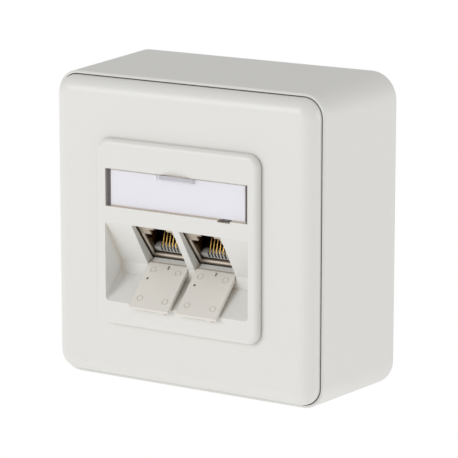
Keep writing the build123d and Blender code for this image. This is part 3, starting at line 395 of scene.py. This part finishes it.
def clear_polycarbonate(name, lip_half, lip_low):
    """Clear polycarbonate, polished. Its cut sides look dense, its end walls grey with painted
    shade, and its finger lip is grained.

    The end walls are the faces whose normal runs along X, and the long edges those with it along Z.
    The lip is what lies above lip_low and within lip_half of the middle, in millimetres.
    """
    material, tree = new_material(name)
    place = add_node(tree, "ShaderNodeTexCoord")
    parts = add_node(tree, "ShaderNodeSeparateXYZ", {}, {"Vector": (place, "Normal")})
    ends = add_node(tree, "ShaderNodeMath", {"operation": "ABSOLUTE"}, {0: (parts, "X")})
    edges = add_node(tree, "ShaderNodeMath", {"operation": "ABSOLUTE"}, {0: (parts, "Z")})
    spot = add_node(tree, "ShaderNodeSeparateXYZ", {}, {"Vector": (place, "Object")})
    aside = add_node(tree, "ShaderNodeMath", {"operation": "ABSOLUTE"}, {0: (spot, "X")})
    inside = add_node(
        tree, "ShaderNodeMath", {"operation": "LESS_THAN", 1: lip_half * MM}, {0: (aside, "Value")},
    )
    above = add_node(
        tree, "ShaderNodeMath", {"operation": "GREATER_THAN", 1: lip_low * MM}, {0: (spot, "Z")},
    )
    lip = add_node(
        tree, "ShaderNodeMath", {"operation": "MULTIPLY"},
        {0: (inside, "Value"), 1: (above, "Value")},
    )
    # How much each kind of face hides of what lies behind it
    face = add_node(
        tree, "ShaderNodeMapRange", {"To Min": FACE_COVER, "To Max": LIP_COVER},
        {"Value": (lip, "Value")},
    )
    edge = add_node(
        tree, "ShaderNodeMix", {"data_type": "FLOAT", 3: EDGE_COVER},
        {0: (edges, "Value"), 2: (face, "Result")},
    )
    # End walls: a sheet of painted shade that hides most of what lies behind it
    cover = add_node(
        tree, "ShaderNodeMix", {"data_type": "FLOAT", 3: END_PAINTED_SHADE_COVER},
        {0: (ends, "Value"), 2: (edge, 0)},
    )
    grained = add_node(
        tree, "ShaderNodeMix",
        {"data_type": "RGBA", 6: (*linear(FACE_COLOUR), 1), 7: (*linear(LIP_COLOUR), 1)},
        {0: (lip, "Value")},
    )
    # End walls painted grey, as shade
    shade = add_node(
        tree, "ShaderNodeMix", {"data_type": "RGBA", 7: (*linear(END_PAINTED_SHADE_COLOUR), 1)},
        {0: (ends, "Value"), 6: (grained, 2)},
    )
    gloss = add_node(
        tree, "ShaderNodeMapRange", {"To Min": POLISHED, "To Max": GRAINED},
        {"Value": (lip, "Value")},
    )
    shader = add_node(
        tree, "ShaderNodeBsdfPrincipled", {"IOR": 1.58},
        {"Base Color": (shade, 2), "Alpha": (cover, 0), "Roughness": (gloss, "Result")},
    )
    finish_material(tree, shader)
    return material


def uncoated_card(name, colour):
    """Uncoated paper card, calendered: dead matt and very slightly blue from its brightener."""
    material, tree = new_material(name)
    shader = add_node(
        tree, "ShaderNodeBsdfPrincipled",
        {"Base Color": (*colour, 1), "Roughness": 0.85, "IOR": 1.45},
    )
    finish_material(tree, shader)
    return material


def plated_metal(
    name, colour, roughness, mottle_mm=0.0, metallic=1.0, gap_shade=METAL_PAINTED_GAP_SHADE, port=None,
):
    """Plated metal. With a mottle, the die-cast skin under the plating makes its gloss uneven.

    A metallic share under 1 stands for a matt plating, which scatters some light on all sides.
    Port holds the settings of a painted shade that turns it dull and dark brown inside the ports.
    A closeness test also paints shade into its narrow gaps.
    """
    material, tree = new_material(name)
    shade = painted_gap_shade(tree, colour, *gap_shade)
    if port:
        shade = painted_port_shade(tree, shade, *port)
    links = {"Base Color": (shade, 2)}
    if mottle_mm:
        place = add_node(tree, "ShaderNodeTexCoord")
        cast = add_node(
            tree, "ShaderNodeTexNoise",
            {"Scale": 1 / (mottle_mm * MM), "Detail": 3.0, "Roughness": 0.55},
            {"Vector": (place, "Object")},
        )
        spread = add_node(
            tree, "ShaderNodeMapRange",
            {
                "From Min": 0.3, "From Max": 0.7,
                "To Min": roughness - 0.08, "To Max": roughness + 0.1,
            },
            {"Value": (cast, "Fac")},
        )
        links["Roughness"] = (spread, "Result")
    shader = add_node(
        tree, "ShaderNodeBsdfPrincipled",
        {"Metallic": metallic, "Roughness": roughness},
        links,
    )
    finish_material(tree, shader)
    return material


def plain_plastic(name, code, roughness, port=None):
    """An engineering plastic from a polished mould: one colour, painted shade in gaps and deep in
    ports.
    """
    material, tree = new_material(name)
    shade = painted_gap_shade(tree, linear(code), *CARRIER_PAINTED_GAP_SHADE)
    if port:
        shade = painted_port_shade(tree, shade, *port)
    shader = add_node(
        tree, "ShaderNodeBsdfPrincipled", {"Roughness": roughness, "IOR": 1.55},
        {"Base Color": (shade, 2)},
    )
    finish_material(tree, shader)
    return material


def surface(name, points, faces, material, body):
    """A smooth mesh object at the origin, from points in millimetres, that rides on a body."""
    mesh = bpy.data.meshes.new(name)
    mesh.from_pydata((np.asarray(points) * MM).tolist(), [], faces)
    mesh.polygons.foreach_set("use_smooth", np.full(len(mesh.polygons), True))
    mesh.update()
    made = bpy.data.objects.new(name, mesh)
    bpy.context.scene.collection.objects.link(made)
    mesh.materials.append(material)
    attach(made, body)
    return made


def grid_quads(rows, columns, closed=False):
    """Quads of a tube: each ring joined round and to the next, if closed the last to the first."""
    last = rows if closed else rows - 1
    row, column = np.meshgrid(np.arange(last), np.arange(columns), indexing="ij")
    beside, after = (column + 1) % columns, (row + 1) % rows
    corners = (
        row * columns + column, after * columns + column,
        after * columns + beside, row * columns + beside,
    )
    return np.stack(corners, axis=-1).reshape(-1, 4)


def in_jack(x, depth, rise):
    """Points beside a jack's middle: x, depth inwards and rise along its front face, all arrays."""
    profile = MOUTH + np.multiply.outer(depth, JACK_IN) + np.multiply.outer(rise, JACK_UP)
    return np.concatenate([np.broadcast_to(x, depth.shape)[..., None], profile], axis=-1)


def wire_path(low, start, back, end, slope, bend):
    """The line of a spring contact in (depth, rise): straight, arc, straight.

    It comes forward from back at height low. A circle of radius bend touches that line at start and
    turns it through 180 degrees less slope, and it leaves along the tangent until depth end.
    """
    turn = np.linspace(0, np.pi - slope, BEND_STEPS)
    arc = np.stack([start - bend * np.sin(turn), low + bend * (1 - np.cos(turn))], axis=-1)
    run = np.linspace(0, 1, RUN_STEPS + 1)[1:, None]
    away = np.array([np.cos(slope), np.sin(slope)])
    reach = (end - arc[-1, 0]) / away[0]
    first = np.full((RUN_STEPS, 2), low)
    first[:, 0] = back + (start - back) * np.linspace(0, RUN_SHARE, RUN_STEPS)
    return np.concatenate([first, arc, arc[-1] + run * reach * away])


def wire_points(x, path, radius, around):
    """A round wire on a path.

    Each ring is radius times a cosine along X and a sine along the path's normal.
    """
    ahead = np.gradient(path, axis=0)
    ahead /= np.linalg.norm(ahead, axis=1, keepdims=True)
    normal = np.stack([-ahead[:, 1], ahead[:, 0]], axis=-1)
    angle = np.arange(around) / around * 2 * np.pi
    shrink = np.ones(len(path))
    shrink[[0, -1]] = CUT_END
    wide = radius * shrink[:, None]
    depth = path[:, :1] + wide * np.sin(angle) * normal[:, :1]
    rise = path[:, 1:] + wide * np.sin(angle) * normal[:, 1:]
    return in_jack(x + wide * np.cos(angle), depth, rise)


def ring_points(centre, along, across, outwards, radius, tube, around, section):
    """A low torus on a plane, with angle s round it and angle t round its section.

    It is centre + (radius + tube cos t)(along cos s + across sin s) + outwards tube sin t.
    """
    s = (np.arange(around) / around * 2 * np.pi)[:, None, None]
    t = (np.arange(section) / section * 2 * np.pi)[None, :, None]
    spread = radius + tube * np.cos(t)
    return centre + spread * (along * np.cos(s) + across * np.sin(s)) + outwards * tube * np.sin(t)


def dress(names, material):
    """Gives one material to CAD nodes."""
    for name in names:
        mesh = NODES[name].data
        mesh.materials.clear()
        mesh.materials.append(material)


def both(*names):
    """The names of the left and right copies of nodes."""
    return [f"{name}_{side}" for name in names for side in ("left", "right")]


class OUTLET_OT_covers(bpy.types.Operator):
    """Finishes of the housing, cover frame, centre plate and shutters"""

    bl_idname = "outlet.covers"
    bl_label = "Finish Covers"

    def execute(self, context):
        scene = context.scene
        sizes, colours = scene.outlet_sizes, scene.outlet_colours
        cover = moulded_abs(
            "moulded ABS, soft gloss white", colours.cover, 0.32, sizes, FRAME_PAINTED_GAP_SHADE,
        )
        housing = moulded_abs(
            "moulded ABS, satin white", colours.housing, 0.42, sizes, FRAME_PAINTED_GAP_SHADE,
        )
        shutter = moulded_abs(
            "moulded ABS, warm white", colours.shutter, 0.4, sizes, SHUTTER_PAINTED_GAP_SHADE,
        )
        plate = moulded_abs(
            "moulded ABS, soft gloss white, thin walls", colours.cover, 0.32, sizes, PLATE_PAINTED_GAP_SHADE,
        )
        marks = moulded_abs(
            "moulded ABS, ejector witness marks", colours.marks, 0.4, sizes, SHUTTER_PAINTED_GAP_SHADE,
        )
        dress(["cover_frame"], cover)
        dress(["centre_plate"], plate)
        dress(both("shutter"), shutter)
        dress(["back_box"], housing)
        # Raised edges of the ejector marks, four on each shutter's inner face
        heading = math.radians(SHUTTER_CLOSED + SWING)
        along = np.array([0, math.cos(heading), math.sin(heading)])
        across = np.array([1.0, 0, 0])
        outwards = np.array([0, along[2], -along[1]])
        ring, tube = sizes.ring_radius / MM, sizes.ring_height / MM
        quads = grid_quads(MARK_AROUND, MARK_SECTION, closed=True)
        for side, turn in SIDES.items():
            points, faces = [], []
            for distance, offset in EJECTOR_MARKS:
                middle = np.array([turn * SHUTTER_X + offset, *HINGE]) + along * distance
                middle = middle + outwards * (SHUTTER_HALF - tube * MARK_SUNK)
                faces.extend((quads + len(points) * MARK_AROUND * MARK_SECTION).tolist())
                mark = ring_points(
                    middle, along, across, outwards, ring, tube, MARK_AROUND, MARK_SECTION,
                )
                points.append(mark.reshape(-1, 3))
            surface(
                f"ejector_marks_{side}", np.concatenate(points), faces,
                marks, f"shutter_{side}",
            )
        return {"FINISHED"}


class OUTLET_OT_label(bpy.types.Operator):
    """Clear label window and its bare card"""

    bl_idname = "outlet.label"
    bl_label = "Finish Label"

    def execute(self, context):
        colours = context.scene.outlet_colours
        dress(["label_card"], uncoated_card("uncoated card", colours.card))
        lip_half = LIP_WIDTH / 2 + LIP_MARGIN
        lip_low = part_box("label_window")[1][2] / MM - LIP_HEIGHT
        dress(["label_window"], clear_polycarbonate("clear polycarbonate", lip_half, lip_low))
        return {"FINISHED"}


class OUTLET_OT_jacks(bpy.types.Operator):
    """Jack shells, contact carriers, contacts and what lies behind them"""

    bl_idname = "outlet.jacks"
    bl_label = "Finish Jacks"

    def execute(self, context):
        sizes, colours = context.scene.outlet_sizes, context.scene.outlet_colours
        nickel = plated_metal(
            "nickel-plated die casting, matt", colours.nickel, 0.4, 0.9, 0.45,
            SHELL_PAINTED_GAP_SHADE, SHELL_PAINTED_PORT_SHADE,
        )
        dress(both("jack_body", "wire_cap"), nickel)
        carrier = plain_plastic("moulded PBT, pale grey", "D8D7D3", 0.4, CARRIER_PAINTED_PORT_SHADE)
        dress(both("contact_insert"), carrier)
        gold = plated_metal("gold-plated bronze", colours.gold, 0.22, port=CONTACT_PAINTED_PORT_SHADE)
        dress(both("contacts"), gold)
        path = wire_path(
            CONTACT_LOW, CONTACT_FRONT, CONTACT_BACK, CONTACT_END,
            math.radians(CONTACT_SLOPE), sizes.wire_bend / MM,
        )
        rows, columns = len(path), CONTACT_AROUND
        quads = grid_quads(rows, columns)
        ends = [list(range(columns)), list(range(rows * columns - 1, (rows - 1) * columns - 1, -1))]
        for side, turn in SIDES.items():
            points, faces = [], []
            for index in range(CONTACT_COUNT):
                place = index - (CONTACT_COUNT - 1) / 2
                x = turn * JACK_X + place * sizes.wire_pitch / MM
                start = len(points) * rows * columns
                faces.extend((quads + start).tolist())
                faces.extend([start + corner for corner in end] for end in ends)
                wire = wire_points(x, path, sizes.wire_radius / MM, columns)
                points.append(wire.reshape(-1, 3))
            made = surface(
                f"contact_wires_{side}", np.concatenate(points), faces, gold, "outlet",
            )
            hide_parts(f"contacts_{side}")
        tin = linear("D8CDB8")
        springs = plated_metal("tin-plated bronze, in the ports", tin, 0.25, port=SPRING_PAINTED_PORT_SHADE)
        dress(both("ground_springs"), springs)
        dress(both("idc_contacts"), plated_metal("tin-plated bronze", tin, 0.25))
        dress(both("circuit_board"), plain_plastic("glass epoxy board", "1F6B3A", 0.35))
        dress(both("idc_block"), plain_plastic("moulded polycarbonate, black", "1B1B1C", 0.4))
        return {"FINISHED"}


class OUTLET_OT_fixings(bpy.types.Operator):
    """Carrier, screws and earth blade"""

    bl_idname = "outlet.fixings"
    bl_label = "Finish Fixings"

    def execute(self, context):
        casting = plated_metal("die-cast zinc alloy", linear("A9A8A4"), 0.45, 1.4)
        dress(["support_frame"], casting)
        dress(
            ["carrier_screws", "plate_screws", "earth_tab", "earth_screw"],
            plated_metal("zinc-plated steel", linear("C6C7C6"), 0.3),
        )
        return {"FINISHED"}


def softbox(name, toward, size, power):
    """A square lamp that looks at the outlet from a direction, soft because it is large."""
    lamp = bpy.data.lights.new(name, "AREA")
    lamp.shape = "SQUARE"
    lamp.size = size
    lamp.energy = power
    holder = bpy.data.objects.new(name, lamp)
    bpy.context.scene.collection.objects.link(holder)
    way = Vector(toward).normalized()
    holder.location = Vector(LAMP_MIDDLE) + way * LAMP_DISTANCE
    holder.rotation_mode = "QUATERNION"
    holder.rotation_quaternion = way.to_track_quat("Z", "Y")


class OUTLET_OT_studio(bpy.types.Operator):
    """Floor, soft lamps, pale surroundings and the camera"""

    bl_idname = "outlet.studio"
    bl_label = "Build Studio"

    def execute(self, context):
        scene = context.scene
        sizes, colours = scene.outlet_sizes, scene.outlet_colours
        # The floor is white to the camera and in reflections, and keeps a soft shadow elsewhere.
        floor_mesh = bpy.data.meshes.new("studio_floor")
        level = CAD_BOX[0][2] - FLOOR_GAP
        ends = ((-1, -1), (1, -1), (1, 1), (-1, 1))
        floor_mesh.from_pydata(
            [(x * FLOOR_REACH, y * FLOOR_REACH, level) for x, y in ends], [], [(0, 1, 2, 3)],
        )
        floor = bpy.data.objects.new("studio_floor", floor_mesh)
        scene.collection.objects.link(floor)
        paper, tree = new_material("white background paper")
        matt = add_node(tree, "ShaderNodeBsdfDiffuse", {"Color": (*linear("F2F2F2"), 1)})
        lift = add_node(
            tree, "ShaderNodeEmission", {"Color": (1, 1, 1, 1), "Strength": FLOOR_LIFT},
        )
        bounce = add_node(
            tree, "ShaderNodeAddShader", {}, {0: (matt, "BSDF"), 1: (lift, "Emission")},
        )
        glow = add_node(
            tree, "ShaderNodeEmission", {"Color": (*colours.backdrop, 1), "Strength": 1.0},
        )
        rays = add_node(tree, "ShaderNodeLightPath")
        shown = add_node(
            tree, "ShaderNodeMath", {"operation": "MAXIMUM"},
            {0: (rays, "Is Camera Ray"), 1: (rays, "Is Glossy Ray")},
        )
        mixed = add_node(
            tree, "ShaderNodeMixShader", {},
            {0: (shown, "Value"), 1: (bounce, "Shader"), 2: (glow, "Emission")},
        )
        finish_material(tree, mixed, "Shader")
        floor_mesh.materials.append(paper)

        world = bpy.data.worlds.new("studio surroundings")
        world.use_nodes = True
        tree = world.node_tree
        tree.nodes.clear()
        rays = add_node(tree, "ShaderNodeLightPath")
        strength = add_node(
            tree, "ShaderNodeMapRange", {"To Min": SKY_LIGHT, "To Max": 1.0},
            {"Value": (rays, "Is Camera Ray")},
        )
        sky = add_node(
            tree, "ShaderNodeBackground", {"Color": (*colours.backdrop, 1)},
            {"Strength": (strength, "Result")},
        )
        add_node(tree, "ShaderNodeOutputWorld", links={"Surface": (sky, "Background")})
        scene.world = world

        for name, lamp in LAMPS.items():
            softbox(name, *lamp)

        camera = bpy.data.objects.new("studio_camera", bpy.data.cameras.new("studio_camera"))
        scene.collection.objects.link(camera)
        camera.data.sensor_width = 36.0
        camera.data.lens = sizes.lens
        camera.data.clip_start, camera.data.clip_end = 0.01, 20.0
        turn, rise = sizes.azimuth, sizes.elevation
        level_part = math.cos(rise)
        back = Vector((math.sin(turn) * level_part, -math.cos(turn) * level_part, math.sin(rise)))
        target = Vector(LOOK_AT) * MM
        camera.location = target + back * sizes.distance
        camera.rotation_mode = "QUATERNION"
        camera.rotation_quaternion = (-back).to_track_quat("-Z", "Y")
        scene.camera = camera
        scene.view_settings.view_transform = "Standard"
        return {"FINISHED"}


class OUTLET_PT_panel(bpy.types.Panel):
    """Lists the outlet's finishing steps"""

    bl_idname = "OUTLET_PT_panel"
    bl_label = "Outlet"
    bl_space_type = "VIEW_3D"
    bl_region_type = "UI"
    bl_category = "Outlet"

    def draw(self, context):
        column = self.layout.column()
        for step in STEPS:
            column.operator(step.bl_idname)
        for group in (context.scene.outlet_sizes, context.scene.outlet_colours):
            for name in group.bl_rna.properties.keys():
                if name not in ("rna_type", "name"):
                    column.prop(group, name)


STEPS = (OUTLET_OT_covers, OUTLET_OT_label, OUTLET_OT_jacks, OUTLET_OT_fixings, OUTLET_OT_studio)
CLASSES = (OutletSizes, OutletColours, *STEPS, OUTLET_PT_panel)


def register():
    """Registers the classes and hangs the settings on the scene."""
    for item in CLASSES:
        bpy.utils.register_class(item)
    bpy.types.Scene.outlet_sizes = bpy.props.PointerProperty(type=OutletSizes)
    bpy.types.Scene.outlet_colours = bpy.props.PointerProperty(type=OutletColours)


def unregister():
    """Removes the settings and the classes."""
    del bpy.types.Scene.outlet_colours
    del bpy.types.Scene.outlet_sizes
    for item in reversed(CLASSES):
        bpy.utils.unregister_class(item)


def main():
    """Runs every step in order."""
    register()
    for step in STEPS:
        group, name = step.bl_idname.split(".")
        getattr(getattr(bpy.ops, group), name)()


if __name__ == "__main__":
    main()
